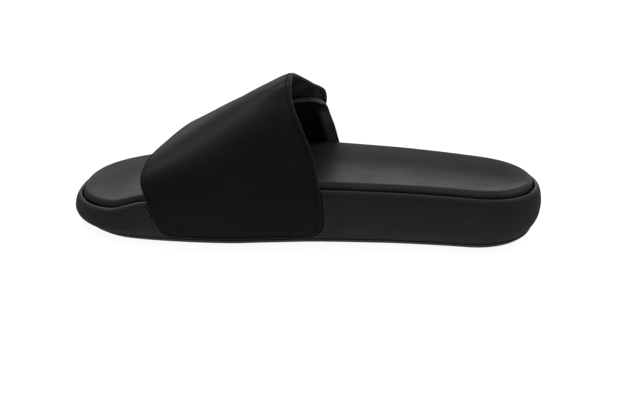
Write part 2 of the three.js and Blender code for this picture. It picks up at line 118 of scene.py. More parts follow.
# How finely the meshes are divided
SOLE_POINTS = 480
SEAT_SHARES = (0.2, 0.55, 0.85)
GROOVE_STEPS = 32
WALL_STEPS = [0.012, 0.03, 0.055, 0.085, *np.linspace(0.12, 0.92, 20), 0.945, 0.965, 0.985, 1.0]
FOOTBED_STEPS, ROLL_DEGREES = np.linspace(0.985, 0.06, 34), np.linspace(-54, 90, 21)
PATH_STEPS, BATCH = 400, 2000
WIDEST_TURN = 0.4  # where a strap's width sets how many columns its mesh has
STRAP_STEP, TAPE_STEP, CUTTER_STEP = 1.25, 1.5, 4.0
SIDE_ROWS = 4
EDGE_STEPS = [0, 0.1, 0.28, 0.52, 0.82, 1.15, 1.5, 1.9, 2.4, 3.0, 3.8, 4.8]  # distances from a strap's edge

# Where a piece changes its finish
BINDING_WIDTH, END_WIDTH = 0.8, 1.5
TAB_LINING_TURNS, PAINTED_LIT_END_TURNS, PAINTED_LIT_END_PLACES = (0.52, 0.8), (0.67, 0.7), (0, 0.6)
LIP_RINGS = (28, 34)  # rings of the midsole whose faces are the lip's crest, glossy and with a painted highlight in its paler colour
HEM_SHADE = 4.0  # how far up from the hem painted shade darkens the strap
FLECKS_FROM, FLECKS_REACH = -1.5, 4  # where the tab's lining starts to show tufts of the tape
LIT_PATCH_TOP, LIT_PATCH_REAR, LIT_PATCH_LEAN = 61.0, 9.5, -0.17  # painted pool of light inside the short strap's rear edge
LIT_PATCH_SIDE, LIT_PATCH_END = (4.5, 9.5), (-6, 3)  # over which distances the strip fades out
LIT_PATCH_RAGGED_SIDE, LIT_PATCH_RAGGED_END = 6.0, 10.0
CLOUDY = (0.34, 0.66)  # limits between which cloudy marks go from dark to pale


def table(columns, rows):
    """Named columns of a short table."""
    return dict(zip(columns.split(), np.array(rows, float).T))


plan = table("at half swing", [
    (0.0, 0.72, 0.1), (0.11, 0.73, 0.03), (0.22, 0.775, -0.04), (0.32, 0.82, -0.07), (0.45, 0.875, -0.06),
    (0.56, 0.945, -0.02), (0.64, 0.99, 0.02), (0.7, 1.0, 0.035), (0.76, 0.988, 0.055), (0.86, 0.94, 0.075),
    (1.0, 0.84, 0.06),
])
rim = table("at rim medial", [
    (0.0, 0.975, 0.13), (0.12, 0.98, 0.27), (0.3, 0.99, 0.43), (0.46, 1.0, 0.55), (0.6, 0.95, 0.68),
    (0.7, 0.845, 0.88), (0.76, 0.75, 1.0), (0.824, 0.65, 1.0), (0.86, 0.6, 0.66), (0.89, 0.565, 0.27),
    (0.93, 0.53, 0.13), (1.0, 0.48, 0.0),
])
wall = table("up inset", [(0, 1), (0.14, 0.5), (0.32, 0.14), (0.56, 0), (0.8, 0.1), (0.93, 0.3), (1, 0.62)])
last = table("at ridge shift medial_top medial_side lateral_top lateral_side", [
    (0.42, 1.03, 0.11, 0.38, 0.75, 0.3, 0.62), (0.53, 1.0, 0.11, 0.38, 0.75, 0.25, 0.5),
    (0.585, 0.923, 0.11, 0.38, 0.77, 0.27, 0.54), (0.665, 0.781, 0.13, 0.39, 0.8, 0.32, 0.63),
    (0.74, 0.636, 0.19, 0.42, 0.85, 0.36, 0.68), (0.82, 0.489, 0.33, 0.45, 0.9, 0.4, 0.72),
    (0.86, 0.43, 0.38, 0.45, 0.9, 0.42, 0.72),
])
broad_edges = table("turn front rear", [
    (0.0, 0.792, 0.4466), (0.06, 0.7845, 0.4466), (0.11, 0.7865, 0.4466), (0.17, 0.797, 0.448),
    (0.24, 0.818, 0.4645), (0.3, 0.829, 0.4925), (0.35, 0.8315, 0.5125), (0.4, 0.829, 0.5235),
    (0.45, 0.826, 0.527), (0.5, 0.8185, 0.5285), (0.535, 0.8065, 0.5285), (0.57, 0.792, 0.525),
    (0.6, 0.776, 0.5185), (0.65, 0.752, 0.4985), (0.685, 0.737, 0.475), (0.7, 0.731, 0.474),
    (0.74, 0.716, 0.488), (0.82, 0.695, 0.525),
])
short_edges = table("turn front rear", [
    (0.67, 0.757, 0.4735), (0.7, 0.752, 0.4735), (0.73, 0.745, 0.469), (0.757, 0.739, 0.461),
    (0.78, 0.733, 0.455), (0.83, 0.722, 0.443), (1.0, 0.7, 0.442),
])
tread = table("start end grooves", [(0.07, 0.3, 6), (0.5, 0.88, 9)])
outsole_side = table("inset share", [
    (GROUND_INSET + 0.5, 0.0), (GROUND_INSET - 0.1, 0.03), (GROUND_INSET - 0.55, 0.12), (7.25, 0.3),
    (6.4, 0.45), (5.9, 0.66), (5.6, 0.85), (SEAM_INSET + 0.1, 0.95), (SEAM_INSET + 0.4, 1.0),
])
lip_round = table("inset rise toe_rise", [
    (3.62, -0.05, 0.1), (3.85, 0.0, 0.2), (4.08, -0.06, 0.2), (4.3, -0.25, 0.0), (4.48, -0.6, -0.35),
    (LIP_WIDTH, -1.2, -0.95),
])

# Creases listed one by one: place along the sole, turn round the arch, spread of each, and depth. A depth
# below zero makes a ridge.
broad_creases = table("at turn long wide depth", [
    (0.535, 0.2, 0.042, 0.1, 0.4), (0.53, 0.425, 0.06, 0.038, -1.7), (0.53, 0.375, 0.05, 0.03, 0.3),
    (0.71, 0.35, 0.1, 0.06, 0.5), (0.71, 0.48, 0.1, 0.045, -0.4), (0.66, 0.44, 0.06, 0.03, -0.12),
    (0.63, 0.56, 0.04, 0.03, 0.25), (0.56, 0.16, 0.05, 0.02, 0.2), (0.72, 0.15, 0.04, 0.02, 0.18),
])
short_creases = table("at turn long wide depth", [
    (0.6, 0.86, 0.05, 0.02, 0.2), (0.52, 0.8, 0.03, 0.03, 0.2),
])


def through(rows, place, value):
    """A smooth function through a table's rows that never swings past them."""
    x, y = rows[place], rows[value]
    rise = np.diff(y) / np.diff(x)
    slope = np.concatenate([rise[:1], rise[1:], rise[-1:]])
    product = rise[:-1] * rise[1:]
    total = rise[:-1] + rise[1:]
    slope[1:-1] = np.where(product <= 0, 0, 2 * product / np.where(total == 0, 1, total))

    def curve(at):
        t = np.clip(np.asarray(at, float), x[0], x[-1])
        i = np.clip(np.searchsorted(x, t) - 1, 0, len(x) - 2)
        width = x[i + 1] - x[i]
        u = (t - x[i]) / width
        bend = (3 - 2 * u) * u * u
        swing = slope[i] * u * (1 - u) ** 2 - slope[i + 1] * u * u * (1 - u)
        return y[i] * (1 - bend) + y[i + 1] * bend + width * swing

    return curve


def smooth(start, end, value):
    """A soft step from 0 to 1 between two limits."""
    share = np.clip((value - start) / (end - start), 0, 1)
    return share * share * (3 - 2 * share)


def hump(middle, spread, value):
    """A soft bump of height 1."""
    return np.exp(-(((value - middle) / spread) ** 2))


plan_half, plan_swing = through(plan, "at", "half"), through(plan, "at", "swing")
rim_share, medial_share = through(rim, "at", "rim"), through(rim, "at", "medial")
wall_inset = through(wall, "up", "inset")
last_shape = {name: through(last, "at", name) for name in last if name != "at"}


# Shape of the sole
def place_x(at):
    return SOLE_LENGTH * (0.5 - at)


def at_x(x):
    return 0.5 - x / SOLE_LENGTH


def centre_y(at):
    return -HALF_BALL * plan_swing(at)


def closing(at):
    """How much of the half width is left where the outline closes at heel and toe."""
    heel = np.clip(at * SOLE_LENGTH / HEEL_ROUND, 0, 1)
    toe = np.clip((1 - at) * SOLE_LENGTH / TOE_ROUND, 0, 1)
    heel_share = (1 - (1 - heel) ** HEEL_SQUARE) ** (1 / HEEL_SQUARE)
    return heel_share * (1 - (1 - toe) ** TOE_SQUARE) ** (1 / TOE_SQUARE)


def half_width(at):
    return HALF_BALL * plan_half(at) * closing(at)


def ground_z(at):
    """Underside of the sole above the floor."""
    toe = TOE_SPRING * np.maximum(0, 1 - (1 - at) / TOE_SPRING_REACH) ** 2
    heel = HEEL_SPRING * np.maximum(0, 1 - at / HEEL_SPRING_REACH) ** 2
    return toe + heel


def rim_z(at, across):
    """Top of the lip, at a place across the sole from -1 (medial) to 1 (lateral)."""
    return RIM_HEIGHT * rim_share(at) + MEDIAL_LIFT * medial_share(at) * (0.5 - 0.5 * across) ** MEDIAL_FADE


def seat_z(at):
    return ground_z(at) + OUTSOLE_THICKNESS + CLEARANCE


def wall_z(up, at, across):
    """Height of a share of the side wall. Towards the toe the shares lie lower."""
    share = up ** (1 + (TOE_LEAN - 1) * smooth(TOE_LEAN_FROM, 1, at))
    return seat_z(at) + share * (rim_z(at, across) - seat_z(at))


def footbed_z(at, across, share):
    """Top of the footbed at a share of the way from its middle line to its edge."""
    lateral = smooth(*FAR_ACROSS, across)
    hollow = 1 - share**2 - FAR_FLATTER * lateral * share**2 * (1 - share) * 2
    dish = FOOTBED_DISH * hollow * (1 - smooth(*TOE_DISH_PLACES, at) * TOE_DISH_LOST)
    return rim_z(at, across) + INSOLE_PROUD + TOE_PROUD * smooth(*TOE_PROUD_PLACES, at) - dish


def sole_outline(count):
    """Points of the sole's widest line, anticlockwise from above, and the inward normal at each."""
    half = count // 2
    i = np.arange(count)
    turn = np.pi * (i % half) / half + np.where(i >= half, np.pi, 0)
    at = np.clip(0.5 - 0.5 * np.cos(turn), 0, 1)
    side = np.where(i < half, 1, -1)
    points = np.stack([place_x(at), centre_y(at) + side * half_width(at)], 1)
    along = np.roll(points, -1, 0) - np.roll(points, 1, 0)
    along /= np.linalg.norm(along, axis=1)[:, None]
    return points, np.stack([-along[:, 1], along[:, 0]], 1)


outline, inward = sole_outline(SOLE_POINTS)


def sole_ring(inset, height, draw=1.0):
    """The outline moved in, drawn towards the sole's middle line by a share, at heights from a function."""
    p = outline + inward * inset
    spine_x = np.clip(p[:, 0], SPINE_FRONT, SPINE_REAR)
    spine = np.stack([spine_x, centre_y(at_x(spine_x))], 1)
    p = (p - spine) * draw + spine
    at = at_x(p[:, 0])
    half = np.maximum(half_width(np.clip(at, END_MARGIN, 1 - END_MARGIN)), 1)
    across = np.clip((p[:, 1] - centre_y(at)) / half, -1, 1)
    return np.column_stack([p, height(at, across)])


# The CAD is centred by its box, so the whole scene moves sideways by what its outsole moved.
shift_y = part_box("outsole")[0].y / MM - sole_ring(SEAM_INSET, lambda at, across: 0 * at)[:, 1].min()


def make_piece(name, points, faces, slot, finishes, creases=40, offset=True):
    """A mesh object in metres from points in millimetres. Edges sharper than creases stay sharp."""
    points = np.array(points, float)
    if offset:
        points = points + [0, shift_y, 0]
    mesh = bpy.data.meshes.new(name)
    mesh.from_pydata((points * MM).tolist(), [], [list(map(int, face)) for face in faces])
    mesh.validate()
    piece = bpy.data.objects.new(name, mesh)
    bpy.context.scene.collection.objects.link(piece)
    tidy_mesh(piece, creases)
    for finish in finishes:
        mesh.materials.append(finish)
    return piece


def tidy_mesh(piece, creases):
    """Outward normals, smooth faces and sharp edges by angle."""
    body = bmesh.new()
    body.from_mesh(piece.data)
    bmesh.ops.remove_doubles(body, verts=body.verts, dist=SAME_POINT)
    bmesh.ops.recalc_face_normals(body, faces=body.faces)
    for face in body.faces:
        face.smooth = True
    for edge in body.edges:
        edge.smooth = len(edge.link_faces) == 2 and edge.calc_face_angle(0) < math.radians(creases)
    body.to_mesh(piece.data)
    body.free()


def cut_away(piece, cutters, creases=40):
    """Takes the cutters out of a piece, and leaves no modifier on it."""
    for cutter in cutters:
        cut = piece.modifiers.new("cut", "BOOLEAN")
        cut.operation, cut.solver, cut.object = "DIFFERENCE", "EXACT", cutter
        bpy.context.view_layer.update()
        graph = bpy.context.evaluated_depsgraph_get()
        mesh = bpy.data.meshes.new_from_object(piece.evaluated_get(graph))
        piece.modifiers.remove(cut)
        old = piece.data
        piece.data = mesh
        bpy.data.meshes.remove(old)
        bpy.data.objects.remove(cutter)
    tidy_mesh(piece, creases)


def skin_faces(rings, size, closed=True):
    """Four-sided faces between neighbouring rings."""
    faces = []
    for r in range(rings - 1):
        for i in range(size if closed else size - 1):
            j = (i + 1) % size
            faces.append((r * size + i, r * size + j, (r + 1) * size + j, (r + 1) * size + i))
    return faces


def rung_faces(start, size):
    """Rungs across a ring, from each point to its mirror point on the other side."""
    faces = [(start, start + 1, start + size - 1)]
    for i in range(1, size // 2 - 1):
        faces.append((start + i, start + i + 1, start + size - i - 1, start + size - i))
    faces.append((start + size // 2 - 1, start + size // 2, start + size // 2 + 1))
    return faces


def body_of_rings(rings):
    """Points and faces of a closed body from rings that start under it, go out, up and in again."""
    size = len(rings[0])
    faces = skin_faces(len(rings), size) + rung_faces((len(rings) - 1) * size, size)
    faces += [face[::-1] for face in rung_faces(0, size)]
    return np.concatenate(rings), faces


# Shader expressions
class Finish:
    """A procedural finish under way: one node tree that ends in one shader."""

    def __init__(self, name):
        self.material = bpy.data.materials.new(name)
        self.material.use_nodes = True
        self.tree = self.material.node_tree
        self.tree.nodes.clear()

    def node(self, kind, settings=None, **sockets):
        """Adds a node: first its settings, then its sockets' values or links. Returns its outputs."""
        made = self.tree.nodes.new("ShaderNode" + kind)
        for name, value in (settings or {}).items():
            setattr(made, name, value)
        for name, value in sockets.items():
            key = int(name[1:]) if name[1:].isdigit() else name.replace("_", " ")
            socket = made.inputs[key]
            if isinstance(value, Signal):
                self.tree.links.new(value.socket, socket)
            else:
                socket.default_value = value
        return {out.name: Signal(self, out) for out in made.outputs if out.enabled}

    def maths(self, operation, *values):
        sockets = {f"i{n}": value for n, value in enumerate(values)}
        return self.node("Math", {"operation": operation}, **sockets)["Value"]

    def noise(self, place, scale, detail=3.0, roughness=0.55):
        return self.node("TexNoise", Vector=place, Scale=scale, Detail=detail, Roughness=roughness)["Fac"]

    def mix(self, factor, first, second):
        """Colours mixed by a factor."""
        sockets = {"i0": factor, "i6": first, "i7": second}
        return self.node("Mix", {"data_type": "RGBA"}, **sockets)["Result"]

    def steps(self, value, low, high):
        """A soft step of a value from 0 to 1 between two limits."""
        sockets = {"i0": value, "i1": low, "i2": high}
        return self.node("MapRange", {"interpolation_type": "SMOOTHSTEP"}, **sockets)["Result"]

    def cells(self, place, scale, feature="F1", **sockets):
        """Distance to the middle of the nearest of many small cells."""
        sockets.update(Vector=place, Scale=scale)
        return self.node("TexVoronoi", {"feature": feature}, **sockets)["Distance"]

    def relief(self, height, strength, depth):
        """A bumped normal from a height, whose full step is a depth in millimetres."""
        return self.node("Bump", Strength=strength, Distance=depth * MM, Height=height)["Normal"]

    def place(self, stretch=(1, 1, 1), shift=(0, 0, 0)):
        """Place on the object in millimetres, stretched for a pattern."""
        spot = self.node("TexCoord")["Object"]
        grow = tuple(value / MM for value in stretch)
        return self.node("VectorMath", {"operation": "MULTIPLY_ADD"}, i0=spot, i1=grow, i2=shift)["Vector"]

    def parts(self, spot):
        """The three numbers of a place."""
        split = self.node("SeparateXYZ", Vector=spot)
        return split["X"], split["Y"], split["Z"]

    def surface(self, **sockets):
        shader = self.node("BsdfPrincipled", **sockets)["BSDF"]
        self.node("OutputMaterial", Surface=shader)
        return self.material


class Signal:
    """A socket's value in an expression: each operator adds its Math node."""

    def __init__(self, finish, socket):
        self.finish, self.socket = finish, socket

    def __add__(self, other):
        return self.finish.maths("ADD", self, other)

    def __sub__(self, other):
        return self.finish.maths("SUBTRACT", self, other)

    def __rsub__(self, other):
        return self.finish.maths("SUBTRACT", other, self)

    def __mul__(self, other):
        return self.finish.maths("MULTIPLY", self, other)

    __radd__, __rmul__ = __add__, __mul__


def grey(shade, warmth=0.0):
    """A dark neutral colour, slightly warm or cool."""
    return (shade * (1 + warmth), shade, shade * (1 - warmth * 1.4), 1.0)


def foam_finish(name, shade, rough, grain, mottle, gloss, coarse=0.0):
    """Moulded foam: fine pebbled skin, cloudy mottling and a soft gloss."""
    foam = Finish(name)
    spot = foam.place()
    clouds = foam.noise(spot, scale=0.045, detail=4.0, roughness=0.6)
    smudges = foam.noise(foam.place(stretch=(0.5, 1, 1.6), shift=(11, 3, 7)), scale=0.11, roughness=0.5)
    pebbles = foam.cells(spot, grain, "SMOOTH_F1", Smoothness=0.6)
    dust = foam.noise(spot, scale=2.6, detail=2.0, roughness=0.6)
    tone = foam.steps(clouds * 0.6 + smudges * 0.4, *CLOUDY)
    colour = foam.mix(tone, grey(shade * (1 - mottle), -0.01), grey(shade * (1 + mottle), 0.004))
    colour = foam.mix(foam.steps(dust, low=0.6, high=0.8) * 0.18, colour, grey(shade * 2.2, 0.01))
    height = pebbles * 0.5 + dust * 0.35 + smudges * coarse
    return foam.surface(
        Base_Color=colour, Roughness=rough + (tone - 0.5) * 0.1 + (dust - 0.5) * 0.08,
        Normal=foam.relief(height, strength=0.28, depth=0.35), Specular_IOR_Level=gloss,
    )


def strap_finish(name, shade, rough, gloss):
    """Smooth synthetic strap: fine pores, faint cloudy marks, a soft sheen, and painted shade that darkens
    it towards the hem.
    """
    skin = Finish(name)
    spot = skin.place()
    stretched = skin.place(stretch=(0.7, 1, 1.2), shift=(4, 9, 2))
    clouds = skin.noise(stretched, scale=0.05, detail=4.0, roughness=0.6)
    blots = skin.noise(spot, scale=0.16, detail=2.0, roughness=0.5)
    pores = skin.cells(spot, 1.6)
    weave = skin.noise(skin.place(stretch=(1.4, 0.6, 2.4)), scale=1.1, roughness=0.6)
    tone = skin.steps(clouds * 0.7 + blots * 0.3, *CLOUDY)
    colour = skin.mix(tone, grey(shade * 0.78, -0.012), grey(shade * 1.24, 0.004))
    # Painted shade: near the hem the colour goes nearly black and the coat fades, as if shadowed where the
    # strap meets the midsole.
    above_floor = skin.parts(spot)[2]
    clear_of_hem_shade = skin.steps(above_floor, HEM_HEIGHT, HEM_HEIGHT + HEM_SHADE)
    colour = skin.mix(clear_of_hem_shade, grey(shade * 0.15), colour)
    height = pores * 0.4 + weave * 0.5 + blots * 0.5
    return skin.surface(
        Base_Color=colour, Roughness=rough + (clouds - 0.5) * 0.16 + (weave - 0.5) * 0.1,
        Normal=skin.relief(height, strength=0.25, depth=0.3), Specular_IOR_Level=gloss,
        Coat_Weight=(0.18 + (clouds - 0.5) * 0.1) * clear_of_hem_shade, Coat_Roughness=0.38,
    )


def lining_finish(name, shade, painted_light=0.0, flecks=0.0):
    """Knitted lining: small rows of loops, paler in patches.

    The third argument is the shade of a painted pool of light inside the short strap's rear edge, and
    flecks that of the tab's tufts."""
    knit = Finish(name)
    spot = knit.place()
    x, y, z = knit.parts(spot)
    rows = knit.maths("SINE", (z + x * 0.25 + y * 0.15) * 4.4)
    loops = knit.maths("SINE", (x - z * 0.3 + y * 0.5) * 3.6)
    wear_and_patch_edge = knit.noise(spot, scale=0.09, detail=4.0, roughness=0.6)
    fluff = knit.noise(spot, scale=1.4, detail=4.0, roughness=0.7)
    tone = knit.steps(wear_and_patch_edge * 0.7 + fluff * 0.3, low=0.38, high=0.66)
    colour = knit.mix(tone, grey(shade * 0.6, -0.01), grey(shade * 1.6, 0.01))
    # Painted light: a pale, ragged patch inside the short strap's rear edge, where light falls in through
    # the opening.
    if painted_light:
        ragged = wear_and_patch_edge - 0.5
        from_rear = (z - LIT_PATCH_TOP) * LIT_PATCH_LEAN + LIT_PATCH_REAR - x + ragged * LIT_PATCH_RAGGED_SIDE
        from_top = z + ragged * LIT_PATCH_RAGGED_END - LIT_PATCH_TOP
        strip = (1 - knit.steps(from_rear, *LIT_PATCH_SIDE)) * (1 - knit.steps(from_top, *LIT_PATCH_END))
        colour = knit.mix(strip * (0.45 + tone * 0.55), colour, grey(painted_light, 0.01))
    if flecks:
        tufts = knit.noise(spot, scale=0.75, detail=2.0, roughness=0.6)
        spread = knit.steps(x, FLECKS_FROM, FLECKS_FROM + FLECKS_REACH)
        colour = knit.mix(knit.steps(tufts, low=0.5, high=0.64) * spread, colour, grey(flecks, 0.01))
        colour = knit.mix(knit.steps(tufts, low=0.46, high=0.38) * spread, colour, grey(shade * 0.15))
    return knit.surface(
        Base_Color=colour, Roughness=0.92 + (fluff - 0.5) * 0.1,
        Normal=knit.relief(rows * loops * 0.4 + fluff, strength=0.5, depth=0.4), Specular_IOR_Level=0.1,
    )


def patch_finish(name, shade, speckle):
    """Hook or loop tape: a dense speckle of tiny fibres."""
    tape = Finish(name)
    spot = tape.place()
    fibres = tape.cells(spot, speckle)
    fluff = tape.noise(spot, scale=speckle * 0.6, detail=4.0, roughness=0.75)
    tone = tape.steps(fluff + fibres * 0.4, low=0.55, high=0.85)
    return tape.surface(
        Base_Color=tape.mix(tone, grey(shade * 0.5), grey(shade * 2.2)),
        Roughness=0.9 + (fluff - 0.5) * 0.1, Normal=tape.relief(fluff - fibres, strength=0.8, depth=0.5),
        Specular_IOR_Level=0.12,
    )


def thread_finish(name, shade):
    """Twisted sewing thread."""
    thread = Finish(name)
    x, y, z = thread.parts(thread.place())
    twist = thread.maths("SINE", (x + y + z) * 14.0)
    return thread.surface(
        Base_Color=thread.mix(twist * 0.5 + 0.5, grey(shade * 0.7), grey(shade * 1.3)),
        Roughness=0.85 + twist * 0.05, Normal=thread.relief(twist, strength=0.5, depth=0.1),
        Specular_IOR_Level=0.05,
    )


midsole_skin = foam_finish(
    "midsole_foam_skin", shade=0.014, rough=0.5, grain=2.1, mottle=0.14, gloss=0.38)
# Painted highlight: the lip's crest is a paler copy of the midsole's foam, with real extra gloss.
lip_painted_highlight = foam_finish(
    "midsole_lip_skin", shade=0.034, rough=0.45, grain=2.1, mottle=0.14, gloss=0.6)
insole_skin = foam_finish(
    "insole_foam_skin", shade=0.025, rough=0.48, grain=1.7, mottle=0.16, gloss=0.19, coarse=0.2)
outsole_skin = foam_finish(
    "outsole_rubber_skin", shade=0.032, rough=0.55, grain=2.4, mottle=0.12, gloss=0.4)
strap_skin = strap_finish("strap_synthetic", shade=0.0058, rough=0.6, gloss=0.13)
# Partly real edge binding, partly painted highlight: the cut edges and a thin band beside them are paler
# than the strap, for the light the edges catch.
edge_binding_with_highlight = strap_finish("strap_edge_binding_and_highlight", shade=0.014, rough=0.6, gloss=0.2)
strap_lining = lining_finish("strap_lining_knit", shade=0.011)
# Painted light: the tab's lining is a paler copy of the strap's lining, so its shaded underside reads lit;
# its flecks are tufts of the tape.
painted_lit_tab_lining = lining_finish("tab_lining_knit", shade=0.034, flecks=0.14)
# Painted light: this lining is paler in a patch near the short strap's rear edge.
short_lining = lining_finish("short_strap_lining_knit", shade=0.009, painted_light=0.2)
# Painted light: the short strap's rear end edge is a much paler copy of the strap's finish, standing in for
# light that falls on it.
painted_lit_end = strap_finish("short_strap_end_binding", shade=0.13, rough=0.7, gloss=0.3)
hook_tape = patch_finish("hook_tape", shade=0.012, speckle=1.5)
loop_tape = patch_finish("loop_tape", shade=0.010, speckle=1.0)
seam_thread = thread_finish("seam_thread", shade=0.0035)


# Outsole with its tread
def groove_cutter(at):
    """One wavy tread groove as a bar to cut with."""
    reach = float(half_width(at)) - GROUND_INSET - TREAD_BORDER
    share = np.linspace(-1, 1, GROOVE_STEPS + 1)
    y = centre_y(at) + reach * share
    swing = TREAD_WAVE * (0.5 - 0.5 * np.cos(2 * np.pi * share))
    side, top = TREAD_WIDTH / 2, float(ground_z(at)) + TREAD_DEPTH
    corners = np.array([
        (-side, top - GROOVE_DROP), (side, top - GROOVE_DROP), (side, top - GROOVE_CHAMFER),
        (side - GROOVE_CHAMFER, top), (-side + GROOVE_CHAMFER, top), (-side, top - GROOVE_CHAMFER),
    ])
    size = len(corners)
    rings = [np.column_stack([place_x(at) + swing[i] + corners[:, 0], np.full(size, y[i]), corners[:, 1]])
             for i in range(GROOVE_STEPS + 1)]
    faces = skin_faces(GROOVE_STEPS + 1, size)
    faces += [tuple(range(size)), tuple(range(GROOVE_STEPS * size, GROOVE_STEPS * size + size))]
    return np.concatenate(rings), faces


def join_bodies(bodies):
    """Points and faces of many bodies as one list of each."""
    points, faces, start = [], [], 0
    for body_points, body_faces in bodies:
        points.append(body_points)
        faces += [tuple(start + i for i in face) for face in body_faces]
        start += len(body_points)
    return np.concatenate(points), faces


def outsole_tread():
    def level(share):
        return lambda at, across: ground_z(at) + OUTSOLE_THICKNESS * share

    rings = [sole_ring(GROUND_INSET, level(0), draw) for draw in (0.25, 0.5, 0.75)]
    rings += [sole_ring(inset, level(share)) for inset, share in zip(*outsole_side.values())]
    rings.append(sole_ring(SEAM_INSET, level(1), 0.5))
    piece = make_piece("outsole_tread", *body_of_rings(rings), "outsole_rubber", [outsole_skin])
    grooves = []
    for start, end, count in zip(tread["start"], tread["end"], tread["grooves"]):
        grooves += [groove_cutter(at) for at in np.linspace(start, end, int(count))]
    cutter = make_piece("groove_cutter", *join_bodies(grooves), None, [])
    cut_away(piece, [cutter], creases=50)
    return piece


# Midsole
def midsole_rings():
    """From under the sole up the wall, over the lip and down into the insole's seat."""
    def crest(rise, toe_rise):
        return lambda at, across: rim_z(at, across) + rise + (toe_rise - rise) * smooth(*LIP_TOE_PLACES, at)

    under = SEAM_INSET + MIDSOLE_UNDER_INSET
    rings = [sole_ring(under, lambda at, across: seat_z(at), draw) for draw in (0.5, 1.0)]
    for up in WALL_STEPS:
        inset = float(wall_inset(up)) * SEAM_INSET
        rings.append(sole_ring(inset, lambda at, across: wall_z(up, at, across)))
    for inset, rise, toe_rise in zip(*lip_round.values()):
        rings.append(sole_ring(inset, crest(rise, toe_rise)))
    for share in (1.0, *SEAT_SHARES[::-1]):
        depth = INSOLE_THICKNESS + CLEARANCE
        rings.append(sole_ring(LIP_WIDTH, lambda at, across: footbed_z(at, across, share) - depth, share))
    return rings


# Insole with its rolled edge
def insole_footbed():
    def underside(share):
        return lambda at, across: footbed_z(at, across, share) - INSOLE_THICKNESS

    edge = LIP_WIDTH + INSOLE_GROOVE
    rings = [sole_ring(LIP_WIDTH, underside(share), share) for share in SEAT_SHARES]
    rings.append(sole_ring(edge + INSOLE_UNDER_INSET, underside(1)))
    medial = smooth(*ROLL_SIDE, inward[:, 1]) * (1 - smooth(*ROLL_PLACES, at_x(outline[:, 0])))
    reach = (INSOLE_ROUND + INSOLE_ROLL * medial)[:, None]
    fall = INSOLE_ROUND + INSOLE_ROLL_DROP * medial
    for degrees in ROLL_DEGREES:
        angle = math.radians(degrees)
        along = np.where(angle > 0, reach, INSOLE_ROUND)
        drop = fall * (1 - math.sin(angle))
        inset = edge + along * (1 - math.cos(angle))
        rings.append(sole_ring(inset, lambda at, across: footbed_z(at, across, 1) - drop))
    for share in FOOTBED_STEPS:
        rings.append(sole_ring(edge + reach, lambda at, across: footbed_z(at, across, share), share))
    return make_piece("insole_footbed", *body_of_rings(rings), "insole_foam", [insole_skin])


# Straps
def last_point(at, turn):
    """The outside of the upper at a place along the sole and a turn round the arch."""
    at, turn = np.broadcast_arrays(np.asarray(at, float), np.asarray(turn, float))
    side = np.where(turn < 0.5, -1.0, 1.0)
    hem = np.where(side < 0, turn, 1 - turn)
    widest = wall_z(WIDEST_UP, at, side)
    edge_y = centre_y(at) + side * (half_width(at) + STRAP_PROUD)
    low_z = ground_z(at) + HEM_HEIGHT
    z = low_z + (widest - low_z) * hem / ARCH_START
    up = WIDEST_UP * np.maximum(0, (z - seat_z(at)) / (widest - seat_z(at)))
    low = np.stack([edge_y - side * SEAM_INSET * wall_inset(np.minimum(up, 1)), z], -1)
    ridge_y = centre_y(at) - HALF_BALL * last_shape["shift"](at)
    ridge_z = INSTEP_HEIGHT * last_shape["ridge"](at)
    top = np.where(side < 0, last_shape["medial_top"](at), last_shape["lateral_top"](at))
    flank = np.where(side < 0, last_shape["medial_side"](at), last_shape["lateral_side"](at))
    t = np.maximum(0, (hem - ARCH_START) / (0.5 - ARCH_START))[..., None]
    start = np.stack([edge_y, widest], -1)
    first = np.stack([edge_y, widest + (ridge_z - widest) * flank], -1)
    second = np.stack([ridge_y + (edge_y - ridge_y) * top, ridge_z], -1)
    ridge = np.stack([ridge_y, ridge_z], -1)
    arch = (1 - t) ** 3 * start + 3 * (1 - t) ** 2 * t * first + 3 * (1 - t) * t**2 * second + t**3 * ridge
    yz = np.where((hem < ARCH_START)[..., None], low, arch)
    return np.concatenate([place_x(at)[..., None], yz], -1)


def last_normal(at, turn):
    """Outward direction of the last's surface."""
    step = 0.004
    along_turn = last_point(at, turn + step) - last_point(at, turn - step)
    along_foot = last_point(at + step, turn) - last_point(at - step, turn)
    normal = np.cross(along_turn, along_foot)
    return normal / np.linalg.norm(normal, axis=-1, keepdims=True)


def broad_lift(at, turn):
    """The broad strap rises over the short one's end, and its rear corner stands away a little more."""
    over = (STRAP_WALL + FASTENER_THICKNESS) * smooth(*OVERLAP_TURNS, turn)
    corner = smooth(*FLARE_TURNS, turn) * (1 - smooth(*FLARE_FADE_TURNS, turn))
    return over + CORNER_FLARE * corner * (1 - smooth(*FLARE_PLACES, at))


def no_lift(at, turn):
    return 0 * at


def rounded_away(distance, radius):
    """How much a rounded corner takes off the strap's width at a distance from its end."""
    inside = np.clip(radius - distance, 0, radius)
    return radius - np.sqrt(radius**2 - inside**2)


def inner_steps(length, step):
    """How many equal steps of about a given size lie between the closer ones near both edges."""
    return max(2, round((length - 2 * EDGE_STEPS[-1]) / step))


def steps_across(length, count):
    """Distances from one edge to the other: closer together near both, a count of equal steps between."""
    inner = np.linspace(EDGE_STEPS[-1], length - EDGE_STEPS[-1], count + 1)[1:-1]
    return np.concatenate([EDGE_STEPS, inner, length - np.array(EDGE_STEPS[::-1])])


def along_path(path):
    """Length of a path up to each of its points."""
    return np.concatenate([[0], np.cumsum(np.linalg.norm(np.diff(path, axis=0), axis=1))])


